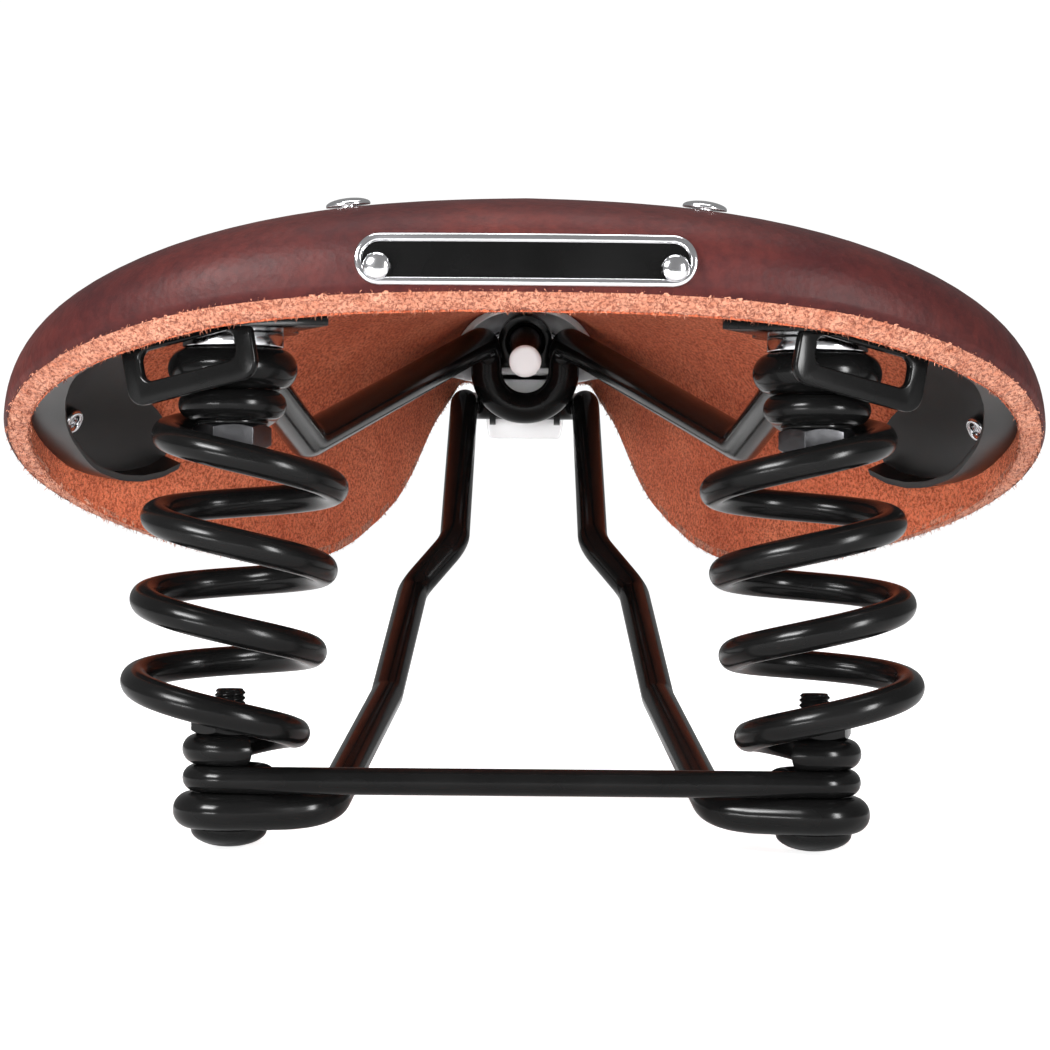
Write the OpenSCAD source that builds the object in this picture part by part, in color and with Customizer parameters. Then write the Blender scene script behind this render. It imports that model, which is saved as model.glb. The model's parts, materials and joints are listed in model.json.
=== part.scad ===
// Sprung leather bicycle saddle.
// A hide hangs between a steel cantle plate at the back and a nose piece at the front.
// An upper frame carries both, and two coil springs stand between it and the rails.
// +Y points to the nose, +Z up. The origin lies midway between the rails, at their clamp.

/* [Leather top] */
// Thickness of the hide
hide_t = 5; // [4:0.5:6]
// How far the cut edge at the back of the hide slopes down inwards
bevel_drop = 4; // [0:0.5:4]
// Height of the lowest point of the seat's ridge, over the rail clamp
ridge_z = 81; // [80:0.5:82]

/* [Frame wires] */
// Diameter of the rails, which a seat post clamps
rail_d = 7; // [6.5:0.1:7]
// Diameter of the upper frame's wire
upper_d = 8; // [7.5:0.1:8]
// Diameter of the bar between the spring feet
bar_d = 5.2; // [4.5:0.1:5.2]

/* [Springs] */
// Half the distance between the two spring bolts
bolt_x = 56; // [55:0.5:57]
// Diameter of the spring wire
spring_d = 5.8; // [5:0.1:5.8]
// Mean radius of the coils
coil_r = 16.6; // [15.5:0.1:17]
// Drop of one coil
coil_pitch = 15.7; // [15:0.1:15.9]

/* [Fasteners] */
// Diameter of the four spring bolts
bolt_d = 6; // [5:0.5:6]
// Width across the flats of their nuts
nut_af = 13; // [11:0.5:13]
// Diameter of the tension bolt
tension_d = 8; // [7:0.5:8]
// Diameter of the large rivet heads
rivet_head = 8.4; // [7:0.2:9]

/* [Badge] */
// Length of the blank plate on the back edge
badge_w = 62; // [56:1:62]
// Height of that plate
badge_h = 9; // [8:0.5:9.5]

/* [Hidden] */
$fn = 48;
gap = 0.3;              // clearance between a curved plate and the hide
run_gap = 0.05;         // radial clearance of a running fit
bolt_y = -95;           // spring bolts, along the saddle
eye_r = 7.3;            // mean radius of a rail's eye
bar_eye_r = 6.4;        // mean radius of the bar's eyes
upper_eye_r = 8.4;      // mean radius of the upper frame's eyes
rail_eye_z = -29.3;     // centre height of the rail eyes
bar_z = rail_eye_z + rail_d / 2 + bar_d / 2;
foot_z = bar_z + bar_d / 2 + spring_d / 2;      // centre of the spring's lower eye
upper_eye_z = 55;
head_z = upper_eye_z - upper_d / 2 - spring_d / 2;  // centre of the spring's upper eye
spacer_t = 2.9;
shelf_z = upper_eye_z + upper_d / 2 + spacer_t;
plate_t = 2;
nose_t = 1.5;           // thickness of the nose piece
washer_t = 0.8;
nut_h = 4.6;
pin_y = 114;            // the rails' front bar, on which the upper frame rocks
pin_z = 57;
tension_y = 100;        // where the tension bolt passes the shackle's boss
tension_z = 72.9;
tension_tilt = 10.5;      // rise of the tension bolt to the front, in degrees
nut_r = nut_af / 2 / cos(30);

// ---------- curves ----------
function unit(v) = v / norm(v);
function catmull(a, b, c, d, t) =
  0.5 * (2 * b + (c - a) * t + (2 * a - 5 * b + 4 * c - d) * t * t
         + (3 * b - a - 3 * c + d) * t * t * t);
function flip(p) = [p.x == 0 ? 0 : -p.x, p.y, p.z];
function ease(a, b, x) = let (t = min(1, max(0, (x - a) / (b - a)))) t * t * (3 - 2 * t);

// Lower edge of the hide, from the middle of the back round the right side to the nose.
edge = [
  [0, -127, 68.4], [22, -126.5, 68.2], [42, -124.5, 67.2], [61.5, -119.5, 65],
  [79.5, -109.5, 60.8], [93, -96, 55.5], [101.3, -81.5, 49.2], [104.6, -67, 42.2],
  [102.8, -50, 35.2], [95.3, -35.5, 28.8], [84.5, -21.5, 23.6], [71, -5, 19.2],
  [58.5, 14, 17.2], [48.5, 32, 19.5], [40.5, 50, 26.2], [34, 67, 35.5],
  [28.6, 84, 49.5], [24.6, 98, 57.5], [21.8, 111, 62.8], [18, 123, 64],
  [10.5, 132, 63.2], [0, 135.5, 62.5]];
last = len(edge) - 1;
function edge_key(i) = i < 0 ? flip(edge[-i]) : i > last ? flip(edge[2 * last - i]) : edge[i];
function edge_at(u) = let (i = min(floor(u), last - 1), p = catmull(
    edge_key(i - 1), edge_key(i), edge_key(i + 1), edge_key(i + 2), u - i))
  [u <= 0 || u >= last ? 0 : p.x, p.y, p.z];
// Direction out of the hide in plan, square to its lower edge.
function edge_out(u) = let (d = edge_at(min(last, u + 0.05)) - edge_at(max(0, u - 0.05)))
  u <= 0 ? [0, -1] : u >= last ? [0, 1] : unit([d.y, -d.x]);
// The ridge of the seat, and the point on it that belongs to a point on the edge.
function ridge_h(y) = ridge_z + 0.00073 * y * y;
spine_back = -93;
spine_front = 112;
function spine_y(u) = let (y = edge_at(u).y, lo = spine_back + 0.9 * min(u, 8), hi = spine_front)
  u < 8 ? lo : let (m = lo + (hi - lo) * (u - 8) / (last - 8), k = ease(8, 11, u) * (1 - ease(16, last, u)))
  m * (1 - k) + y * k;
// Squareness of the cross-section: 2 is an ellipse, more is boxier.
function squareness(u) = 3 - 0.8 * ease(0, 5.5, u) + 0.3 * ease(9, 13, u) + 0.4 * ease(14, last, u);
// A point of the hide at u along the edge and v from ridge (0) to edge (1), deep under the outer face.
function skin(u, v, deep = 0) =
  let (e = edge_at(u), o = edge_out(u), n = squareness(u), y = spine_y(u),
       top = ridge_h(y) - deep,
       bevel = bevel_drop * (1 - 0.9 * ease(3.5, 8, u)) * min(1, max(0, deep) / hide_t),
       foot = [e.x - deep * o.x, e.y - deep * o.y, e.z - bevel],
       h = pow(sin(90 * v), 2 / n), g = 1 - pow(cos(90 * v), 2 / n))
  [u <= 0 || u >= last ? 0 : max(0, foot.x) * h, y + (foot.y - y) * h, top + (foot.z - top) * g];
function skin_out(u, v) =
  let (a = skin(u + 0.02, v) - skin(u - 0.02, v), b = skin(u, v + 0.005) - skin(u, v - 0.005))
  unit(cross(b, a));

// A curved plate between two depths of the hide, as one closed surface and its mirror image.
// Each row is [u, v at its top, v at its foot, height of the lip turned in at its foot].
// cols is the number of points along a row and lip_v the thickness of the lip, in v.
module skin_plate(rows, cols, d0, d1, lip_v = 0.02) {
  nu = len(rows);
  function along(r, j) = r[1] + (r[2] - r[1]) * j / (cols - 1);
  function outer(r) = [for (j = [0:cols - 1]) skin(r[0], along(r, j), d0)];
  function inner(r) = let (foot = r[2] - lip_v, lip = r[3] == undef ? 0 : r[3])
    concat([skin(r[0], r[2], d1 + lip)],
           r[3] == undef ? [] : [skin(r[0], foot, d1 + lip), skin(r[0], foot, d1)],
           [for (j = [cols - 2:-1:0]) skin(r[0], r[3] == undef ? along(r, j) : r[1] + (foot - r[1]) * j / (cols - 1), d1)]);
  loops = [for (r = rows) concat(outer(r), inner(r))];
  k = len(loops[0]);
  half = [for (l = loops, p = l) p];
  all = concat(half, [for (p = half) flip(p)]);
  size = len(half);
  closed_top = rows[nu - 1][1] == 0;
  // the loop's last edge lies at the top of the row, and is left out where both sides meet there
  sides = [for (s = [0, 1], i = [0:nu - 2], j = [0:k - (closed_top ? 2 : 1)])
    let (a = s * size + i * k, n = (j + 1) % k) each wall(a + j, a + n, a + k + n, a + k + j, s)];
  ends = concat(rows[0][0] <= 0 ? [] : cap(0, k, cols, 1), rows[nu - 1][0] >= last ? [] : cap((nu - 1) * k, k, cols, 0));
  // a quad is cut along its other diagonal where this one would lie in the middle plane on both sides
  function wall(a, b, c, d, s) = max(abs(all[a].x), abs(all[c].x)) < 0.001 ? cut(b, c, d, a, s) : cut(a, b, c, d, s);
  function cut(a, b, c, d, s) = s == 0 ? [[a, b, c], [a, c, d]] : [[c, b, a], [d, c, a]];
  function cap(a, k, cols, s) = [for (side = [0, 1], t = cap_faces(k, cols))
    let (f = [for (i = t) i + a + side * size]) (s + side) % 2 == 1 ? [f[2], f[1], f[0]] : f];
  function cap_faces(k, cols) = let (lip = k - 2 * cols)
    concat([for (j = [0:cols - 3]) each [[j, j + 1, k - 2 - j], [j, k - 2 - j, k - 1 - j]]],
           lip == 0 ? [[cols - 2, cols - 1, cols], [cols - 2, cols, cols + 1]]
                    : [[cols - 2, cols - 1, cols + 2], [cols - 2, cols + 2, cols + 3],
                       [cols - 1, cols, cols + 1], [cols - 1, cols + 1, cols + 2]]);
  polyhedron(all, concat(sides, ends), convexity = 8);
}

// Moves its children onto the outer face of the hide, +Z out of it. s is 1 right or -1 left.
module on_hide(u, v, s = 1) {
  p = skin(u, v);
  n = u >= last - 0.01 ? unit([0, skin_out(last - 0.1, v).y, skin_out(last - 0.1, v).z]) : skin_out(u, v);
  translate([s * p.x, p.y, p.z]) rotate([0, acos(n.z), atan2(n.y, s * n.x)]) children();
}

// ---------- bent wire ----------
// Places a frame whose +X is a, +Z is n (both unit and square to each other), at p.
module frame_at(p, a, n) {
  b = cross(n, a);
  multmatrix([[a.x, b.x, n.x, p.x], [a.y, b.y, n.y, p.y], [a.z, b.z, n.z, p.z], [0, 0, 0, 1]]) children();
}
function square_to(d) = unit(cross(d, abs(d.z) < 0.8 ? [0, 0, 1] : [1, 0, 0]));
module rod(a, b, d) {
  frame_at(a, square_to(unit(b - a)), unit(b - a)) cylinder(d = d, h = norm(b - a));
}
// Points along a wire through pts, with a round bend of the given radius at each inner one.
function bend_cut(p, q, r, radius) = radius / tan(acos(unit(p - q) * unit(r - q)) / 2);
function bend_arc(p, q, r, radius) =
  let (back = unit(p - q), on = unit(r - q), cut = bend_cut(p, q, r, radius), turn = acos(-back * on),
       axis = unit(cross(-back, on)), inward = cross(axis, -back), centre = q + back * cut + inward * radius,
       n = max(2, ceil(turn / 14)))
  [for (i = [0:n]) centre - radius * cos(turn * i / n) * inward - radius * sin(turn * i / n) * back];
function wire(pts, radii) = concat([pts[0]],
  [for (i = [1:len(pts) - 2]) each bend_arc(pts[i - 1], pts[i], pts[i + 1], radii[i])], [pts[len(pts) - 1]]);
// Points round a spring bolt's axis, from angle a to angle b.
function eye_arc(z, r, a, b) = let (n = ceil(abs(b - a) / 15))
  [for (i = [0:n]) let (t = a + (b - a) * i / n) [bolt_x + r * cos(t), bolt_y + r * sin(t), z]];
// A round bar of diameter d along the points.
module tube(path, d, sides = 12) {
  n = len(path);
  dirs = [for (i = [0:n - 1]) unit(unit(path[min(n - 1, i + 1)] - path[min(n - 2, i)])
                                  + unit(path[max(1, i)] - path[max(0, i - 1)]))];
  outs = [for (i = 0, o = square_to(dirs[0]); i < n; i = i + 1,
           o = i < n ? unit(o - (o * dirs[i]) * dirs[i]) : o) o];
  pts = [for (i = [0:n - 1]) let (up = cross(outs[i], dirs[i])) for (k = [0:sides - 1])
    path[i] + d / 2 * (cos(360 * k / sides) * outs[i] + sin(360 * k / sides) * up)];
  wall = [for (i = [0:n - 2], k = [0:sides - 1]) let (a = i * sides + k, b = i * sides + (k + 1) % sides)
    each [[a, b, b + sides], [a, b + sides, a + sides]]];
  ends = [for (k = [1:sides - 2]) each
    [[0, k + 1, k], [(n - 1) * sides, (n - 1) * sides + k, (n - 1) * sides + k + 1]]];
  polyhedron(pts, concat(wall, ends), convexity = 10);
}
// A whole eye of exact wire, for a bar that is straight between its eyes.
module eye(z, r, d, a, sweep) {
  translate([bolt_x, bolt_y, z]) rotate([0, 0, a]) rotate_extrude(angle = sweep)
    translate([r, 0]) circle(d = d);
}
module both_sides() {
  children();
  mirror([1, 0, 0]) children();
}
module on_bolt(s, z) {
  translate([s * bolt_x, bolt_y, z]) children();
}
module hex_nut(af, h, hole) {
  difference() {
    intersection() {
      cylinder(r = af / 2 / cos(30), h = h, $fn = 6);
      translate([0, 0, h / 2]) rotate_extrude()
        polygon([[0, -h / 2], [af / 2 - 0.2, -h / 2], [af / 2 / cos(30), -h / 2 + 0.7],
                 [af / 2 / cos(30), h / 2 - 0.7], [af / 2 - 0.2, h / 2], [0, h / 2]]);
    }
    translate([0, 0, -1]) cylinder(d = hole, h = h + 2);
  }
}

// ---------- hide, badge and rivets ----------
top_rivet = [3.12, 0.293];
badge_rivet = [1.24, 0.935];
side_rivet = [8, 0.84];
nose_rivet = [[17.9, 0.60], [19.2, 0.58]];
tip_rivet_v = 0.66;
shank_d = 3.4;
hole_d = shank_d + 0.2;
plate_grip = hide_t + gap + plate_t;
module rivet_hole(u, v, s, d) {
  on_hide(u, v, s) translate([0, 0, -12]) cylinder(d = d, h = 20);
}
module back_rivet_holes(d) {
  for (s = [-1, 1]) {
    rivet_hole(top_rivet[0], top_rivet[1], s, d);
    rivet_hole(side_rivet[0], side_rivet[1], s, d);
    rivet_hole(badge_rivet[0], badge_rivet[1], s, d);
  }
}
module nose_rivet_holes(d) {
  for (s = [-1, 1], r = nose_rivet) rivet_hole(r[0], r[1], s, d);
  rivet_hole(last, tip_rivet_v, 1, d);
}
module leather_top() {
  color([0.28, 0.12, 0.11]) difference() {
    skin_plate([for (i = [0:2 * last]) [i / 2, 0, 1]], 15, 0, hide_t);
    back_rivet_holes(hole_d);
    nose_rivet_holes(hole_d);
  }
}
// A domed rivet of the given head diameter and rise, seated at height seat, with a rolled tail grip deep.
module rivet(head, rise, seat, grip = plate_grip + 0.5) {
  rotate_extrude() polygon(concat(
    [for (a = [0:15:90]) [head / 2 * sin(a), seat + rise * cos(a)]],
    [[shank_d / 2, seat], [shank_d / 2, -grip - 1.3], [0, -grip - 1.3]]));
  translate([0, 0, -grip - 0.7]) rotate_extrude() translate([shank_d / 2 + 0.5, 0]) circle(d = 1.4);
}
module top_rivet(s) {
  color("silver") on_hide(top_rivet[0], top_rivet[1], s) rivet(rivet_head, 1.3, gap);
}
module side_rivet(s) {
  color("silver") on_hide(side_rivet[0], side_rivet[1], s) rivet(rivet_head, 1.6, gap);
}
module badge_rivet(s) {
  color("silver") on_hide(badge_rivet[0], badge_rivet[1], s) rivet(5, 1.5, badge_lift + badge_t, plate_grip + 2.5);
}
module nose_rivets(s) {
  color("silver") for (r = nose_rivet) on_hide(r[0], r[1], s) rivet(rivet_head - 1.4, 1.4, gap, plate_grip + 1);
}
module nose_rivet_tip() {
  color("silver") on_hide(last, tip_rivet_v) rivet(rivet_head - 1.4, 1.4, gap, plate_grip + 3);
}
// A blank plate with a raised border, bent to the back face of the hide.
badge_lift = 0.3;
badge_t = 1.2;
badge_z = 73.2;
// Where a height and a half-width on the back face lie on the hide.
function back_v(u, z) = let (e = edge_at(u).z, top = ridge_h(spine_y(u)), g = (top - z) / (top - e))
  acos(pow(max(0, 1 - g), squareness(u) / 2)) / 90;
function back_u(x) = x < 22 ? x / 21.8 : 1 + (x - 22) / 19.6;
badge_end = (badge_w - badge_h) / 2;
badge_columns = concat([for (i = [0:4]) badge_end * i / 4],
  [for (a = [18:18:72]) badge_end + badge_h / 2 * sin(a)], [badge_w / 2 - 0.05]);
function badge_half(x) = x <= badge_end ? badge_h / 2
  : sqrt(max(0.09, pow(badge_h / 2, 2) - pow(x - badge_end, 2)));
module badge_plate() {
  rows = [for (x = badge_columns) let (u = back_u(x), h = badge_half(x)) [u, back_v(u, badge_z + h), back_v(u, badge_z - h)]];
  color("silver") difference() {
    skin_plate(rows, 5, -badge_lift - badge_t, -badge_lift);
    for (s = [-1, 1]) rivet_hole(badge_rivet[0], badge_rivet[1], s, hole_d);
  }
}

// ---------- cantle plate ----------
// rows of the pressed plate: the ears at its ends have a lip turned in at the foot
cantle_rows = [
  [0, 0.15, 0.985, 0], [0.75, 0.15, 0.985, 0], [1.5, 0.15, 0.985, 0], [2.25, 0.15, 0.985, 0],
  [3, 0.16, 0.985, 0], [4, 0.26, 0.985, 0], [5, 0.38, 0.975, 1], [5.7, 0.46, 0.965, 3.2], [6.4, 0.53, 0.96, 4.6],
  [7.1, 0.59, 0.955, 5], [7.8, 0.64, 0.95, 5], [8.5, 0.67, 0.945, 5], [9, 0.695, 0.93, 5],
  [9.4, 0.715, 0.905, 5], [9.7, 0.74, 0.875, 5], [9.9, 0.77, 0.84, 5]];
// A flat plate under each end of the cantle plate, on which a spring bolt hangs.
module spring_seat(s) {
  inset = hide_t + gap + plate_t - 0.1;
  rim = [for (i = [0:8]) let (u = 1.75 + i * 0.35, e = edge_at(u), o = edge_out(u), d = inset + 0.016 * i * i)
    [e.x - d * o.x, e.y - d * o.y]];
  color([0.12, 0.12, 0.13]) scale([s, 1, 1]) difference() {
    translate([0, 0, shelf_z]) linear_extrude(plate_t) {
      translate([bolt_x, bolt_y]) circle(r = 12.5);
      polygon(concat(rim, [[bolt_x + 12, bolt_y + 3], [bolt_x, bolt_y], [bolt_x - 12, bolt_y - 4]]));
    }
    translate([bolt_x, bolt_y, shelf_z - 1]) cylinder(d = bolt_d + 0.2, h = plate_t + 2);
  }
}
module cantle_plate() {
  color([0.12, 0.12, 0.13]) difference() {
    skin_plate(cantle_rows, 9, hide_t + gap, hide_t + gap + plate_t);
    back_rivet_holes(hole_d);
  }
}
// A flat strip loop under the cantle plate, for the straps of a bag.
module bag_loop(s) {
  a = edge_at(2.75);
  b = edge_at(4.15);
  o = unit(edge_out(2.75) + edge_out(4.15));
  m = (a + b) / 2 - (hide_t + gap + plate_t + 1.7) * [o.x, o.y, 0];
  lean = unit(b - a);
  up = [0, 0, 1];
  side = unit([lean.x, lean.y, lean.z]);
  normal = unit(cross(side, up));
  rise = cross(normal, side);
  color([0.12, 0.12, 0.13]) scale([s, 1, 1]) intersection() {
    translate([0, -200, shelf_z - 60]) cube([120, 200, 60]);
    multmatrix([[side.x, rise.x, normal.x, m.x], [side.y, rise.y, normal.y, m.y],
                [side.z, rise.z, normal.z, m.z - 6.2], [0, 0, 0, 1]])
      linear_extrude(1.8, center = true) translate([-2.3, 0]) difference() {
        loop_outline(29.5, 15, 3.6);
        translate([0, -0.4]) loop_outline(21.5, 5.8, 2);
      }
  }
}
module loop_outline(w, h, r) {
  square([w - 2 * r, h], center = true);
  square([w, h - 2 * r], center = true);
  for (x = [-1, 1], y = [-1, 1]) translate([x * (w / 2 - r), y * (h / 2 - r)]) circle(r = r);
}

// ---------- frames ----------
function backwards(v) = [for (i = [len(v) - 1:-1:0]) v[i]];
function mirrored(v) = [for (p = backwards(v)) [-p.x, p.y, p.z]];
upper_path = [[bolt_x + upper_eye_r * cos(150), bolt_y + upper_eye_r * sin(150), upper_eye_z], [51.5, -84, 53.8],
  [46.3, -35, 43.1], [9.9, 90, 73], [9.9, 94, 55.7]];
upper_radii = [0, 11, 14, 6, 9.8];
module upper_frame() {
  half = concat(eye_arc(upper_eye_z, upper_eye_r, 435, 165),
    wire(concat(upper_path, [[0, 94, 55.7]]), upper_radii));
  color([0.12, 0.12, 0.13]) tube(concat(half, mirrored([for (i = [0:len(half) - 2]) half[i]])), upper_d);
}
rail_start = 250;
// from the eye to the front bar; the third point to the fourth is the length a seat post clamps
rail_path = [
  [bolt_x + eye_r * cos(rail_start), bolt_y + eye_r * sin(rail_start), rail_eye_z],
  [44, -98.4, rail_eye_z], [37, -95.8, rail_eye_z + 0.6],
  [29.1, -30, -11.3], [25.7, 25, 10.4], [16.3, 31, 21.5], [15.6, 93.3, pin_z], [14.8, pin_y, pin_z]];
rail_radii = [0, 20, 9, 14, 8, 8, 12, 4.8];
clamp_a = rail_path[3] + 7 * unit(rail_path[4] - rail_path[3]);
clamp_b = rail_path[4] + 7 * unit(rail_path[3] - rail_path[4]);
module rails() {
  run = unit(clamp_b - clamp_a);
  back_part = concat(eye_arc(rail_eye_z, eye_r, 505, rail_start + 15),
    wire([for (i = [0:3]) rail_path[i]], rail_radii));
  bend_back = wire([rail_path[2] * 0.5 + rail_path[3] * 0.5, rail_path[3], clamp_a + 1.5 * run], [0, rail_radii[3]]);
  back_tube = concat([for (i = [0:len(back_part) - 2]) back_part[i]], [for (i = [1:len(bend_back) - 1]) bend_back[i]]);
  front_tube = wire([clamp_b - 1.5 * run, rail_path[4], rail_path[5], rail_path[6], rail_path[7], [7, pin_y, pin_z]],
    [0, rail_radii[4], rail_radii[5], rail_radii[6], rail_radii[7]]);
  color([0.12, 0.12, 0.13]) {
    both_sides() {
      tube(back_tube, rail_d - 0.02);
      tube(front_tube, rail_d - 0.02);
      rod(clamp_a, clamp_b, rail_d);
    }
    translate([-9.3, pin_y, pin_z]) rotate([0, 90, 0]) cylinder(d = rail_d, h = 18.6);
  }
}
module spring_bar() {
  color([0.12, 0.12, 0.13]) {
    rod([-bolt_x, bolt_y - bar_eye_r, bar_z], [bolt_x, bolt_y - bar_eye_r, bar_z], bar_d);
    both_sides() eye(bar_z, bar_eye_r, bar_d, 270, 268);
  }
}

// ---------- springs ----------
first_turn = 41.5;      // height of the first coil's outer side
head_sweep = 165;       // the strand that runs up into the upper eye
head_end = 400;
coils_end = 1260;
foot_sweep = 95;
foot_end = 1565;
coil_lean = 0.072;      // the outer side of a coil stands higher
head_eye_r = 7.45;
foot_eye_r = 6.15;
function centre_x(z) = 52.5 + 5.8 * (37.6 - z) / 47;
// Centreline of the right spring at turn t in degrees, from the first coil's outer side down.
function spring_at(t) =
  t < 0 ? let (k = ease(0, head_sweep, -t), c = centre_x(first_turn) * (1 - k) + bolt_x * k,
               r = coil_r * (1 - k) + head_eye_r * k,
               rest = first_turn - coil_pitch * t / 360 * (1 - ease(0, head_sweep, -t)),
               z = rest * (1 - k) + head_z * k)
      [c + r * cos(-t), bolt_y + r * sin(-t), z + coil_lean * r * cos(t) * (1 - k)]
  : t < coils_end ? let (z = first_turn - coil_pitch * t / 360 + coil_lean * coil_r * cos(t),
               r = coil_r - 1.3 * ease(coils_end - 240, coils_end, t))
      [centre_x(z) + r * cos(-t), bolt_y + r * sin(-t), z]
  : let (k = ease(0, foot_sweep, t - coils_end), e = ease(0, foot_sweep + 30, t - coils_end),
         from = first_turn - coil_pitch * coils_end / 360,
         c = centre_x(from) * (1 - e) + bolt_x * e, r = (coil_r - 1.3) * (1 - e) + foot_eye_r * e,
         z = (from + coil_lean * coil_r * cos(t)) * (1 - k) + foot_z * k)
      [c + r * cos(-t), bolt_y + r * sin(-t), z];
module spring(s) {
  n = 132;
  path = [for (i = [0:n - 1]) spring_at(-head_end + (head_end + foot_end) * i / (n - 1))];
  color([0.12, 0.12, 0.13]) scale([s, 1, 1]) tube(path, spring_d, 10);
}

// ---------- bolts, nuts, washers and spacers ----------
upper_nut_top = head_z - spring_d / 2 - washer_t;
module upper_bolt(s) {
  color([0.12, 0.12, 0.13]) on_bolt(s, 0) {
    translate([0, 0, upper_nut_top - nut_h - 0.8]) cylinder(d = bolt_d, h = shelf_z + plate_t - upper_nut_top + nut_h + 0.9);
    translate([0, 0, shelf_z + plate_t]) cylinder(r1 = 6.4, r2 = 4.6, h = 2.6);
  }
}
module upper_spacer(s) {
  color("silver") on_bolt(s, upper_eye_z + upper_d / 2) difference() {
    cylinder(r = 9.7, h = spacer_t);
    translate([0, 0, -1]) cylinder(d = bolt_d + 0.2, h = spacer_t + 2);
  }
}
module upper_washer(s) {
  color([0.12, 0.12, 0.13]) on_bolt(s, upper_nut_top) difference() {
    cylinder(r = 6.9, h = washer_t);
    translate([0, 0, -1]) cylinder(d = bolt_d + 0.2, h = washer_t + 2);
  }
}
module upper_nut(s) {
  color([0.12, 0.12, 0.13]) on_bolt(s, upper_nut_top - nut_h) rotate([0, 0, 7]) hex_nut(nut_af, nut_h, bolt_d);
}
module lower_bolt(s) {
  seat = rail_eye_z - rail_d / 2;
  color([0.12, 0.12, 0.13]) on_bolt(s, 0) {
    translate([0, 0, seat - 0.1]) cylinder(d = bolt_d, h = -6.2 - seat + 0.1);
    translate([0, 0, seat]) rotate_extrude()
      polygon(concat([[0, 0]], [for (a = [90:-15:0]) [7.3 * sin(a), -3.6 * cos(a)]]));
  }
}
module lower_nut(s) {
  color([0.12, 0.12, 0.13]) on_bolt(s, foot_z + spring_d / 2) rotate([0, 0, 15]) hex_nut(nut_af, nut_h, bolt_d);
}

// ---------- nose ----------
// Places its children on the tension bolt, +Z along it to the front.
module on_tension(s) {
  translate([0, tension_y, tension_z]) rotate([tension_tilt - 90, 0, 0]) translate([0, 0, s]) children();
}
seat_s = 17;              // where the bolt's head bears on the nose piece
module tension_bolt() {
  color("silver") {
    on_tension(-38) cylinder(d = tension_d, h = 38 + seat_s - 2.8);
    on_tension(seat_s - 3) cylinder(r = 4.5, h = 3);
  }
}
module tension_nut() {
  color("silver") on_tension(6.2) hex_nut(nut_af - 2, 6, tension_d + 2 * run_gap);
}
module shackle() {
  color([0.12, 0.12, 0.13]) {
    difference() {
      union() {
        on_tension(0) cylinder(r = 7, h = 6);
        translate([-9.25, tension_y + 1, tension_z - 6.4]) cube([18.5, 4.5, 6.4]);
        both_sides() translate([7.65, 0, 0]) rotate([90, 0, 90]) linear_extrude(1.6) {
          translate([pin_y, pin_z]) circle(r = 5);
          polygon([[pin_y - 4.9, pin_z + 1], [pin_y + 4.6, pin_z + 2], [tension_y + 5.5, tension_z],
                   [tension_y + 1, tension_z]]);
        }
      }
      on_tension(-1) cylinder(d = tension_d + 0.3, h = 8);
      on_tension(-0.5) cylinder(r1 = 5.7, r2 = tension_d / 2, h = 1.8);
      translate([-15, pin_y, pin_z]) rotate([0, 90, 0]) cylinder(d = rail_d + 2 * run_gap, h = 30);
    }
  }
}
// v at which the hide stands at height z, deep under its outer face
function v_at(u, z, deep) = let (top = ridge_h(spine_y(u)) - deep, g = (top - z) / (top - edge_at(u).z))
  acos(pow(max(0, 1 - g), squareness(u) / 2)) / 90;
nose_start = 16.8;
nose_foot = 64;         // height of the nose piece's lower edge
nose_rows = [for (i = [0:9]) let (u = nose_start + (last - nose_start) * i / 9)
  [u, 0, v_at(u, nose_foot, hide_t + gap)]];
module nose_piece() {
  color("silver") difference() {
    skin_plate(nose_rows, 9, hide_t + gap, hide_t + gap + nose_t);
    nose_rivet_holes(hole_d);
  }
}
tongue_y = 119.2;
// The floor of the nose piece, with a tongue before the rails' front bar and the bolt's seat.
module nose_bracket() {
  inset = hide_t + gap + nose_t - 0.1;
  rim = [for (i = [0:6]) let (u = 19.4 + (last - 19.4) * i / 6, e = edge_at(u), o = edge_out(u))
    [e.x - inset * o.x, e.y - inset * o.y]];
  color("silver") {
    translate([0, 0, 64]) linear_extrude(2)
      polygon(concat([[9.6, tongue_y]], rim, [for (p = backwards(rim)) [-p.x, p.y]], [[-9.6, tongue_y]]));
    translate([0, tongue_y + 2, 0]) rotate([90, 0, 0]) linear_extrude(2)
      polygon([[-10.2, 65], [-10.2, 52.5], [-9.4, 48.6], [9.4, 48.6], [10.2, 52.5], [10.2, 65]]);
    on_tension(seat_s) cylinder(r = 4.4, h = 3.4);
    translate([0, tongue_y + 2, 0]) rotate([90, 0, 0]) linear_extrude(2)
      polygon([[-8.5, 65.5], [-7, 71.5], [-3.8, 80], [3.8, 80], [7, 71.5], [8.5, 65.5]]);
  }
}

leather_top();
badge_plate();
badge_rivet(-1);  // badge_rivet_left
badge_rivet(1);  // badge_rivet_right
top_rivet(-1);  // top_rivet_left
top_rivet(1);  // top_rivet_right
side_rivet(-1);  // side_rivet_left
side_rivet(1);  // side_rivet_right
nose_rivet_tip();
nose_rivets(-1);  // nose_rivets_left
nose_rivets(1);  // nose_rivets_right
cantle_plate();
spring_seat(-1);  // spring_seat_left
spring_seat(1);  // spring_seat_right
bag_loop(-1);  // bag_loop_left
bag_loop(1);  // bag_loop_right
upper_frame();
upper_bolt(-1);  // upper_bolt_left
upper_bolt(1);  // upper_bolt_right
upper_spacer(-1);  // upper_spacer_left
upper_spacer(1);  // upper_spacer_right
upper_washer(-1);  // upper_washer_left
upper_washer(1);  // upper_washer_right
upper_nut(-1);  // upper_nut_left
upper_nut(1);  // upper_nut_right
spring(-1);  // spring_left
spring(1);  // spring_right
rails();
spring_bar();
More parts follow.
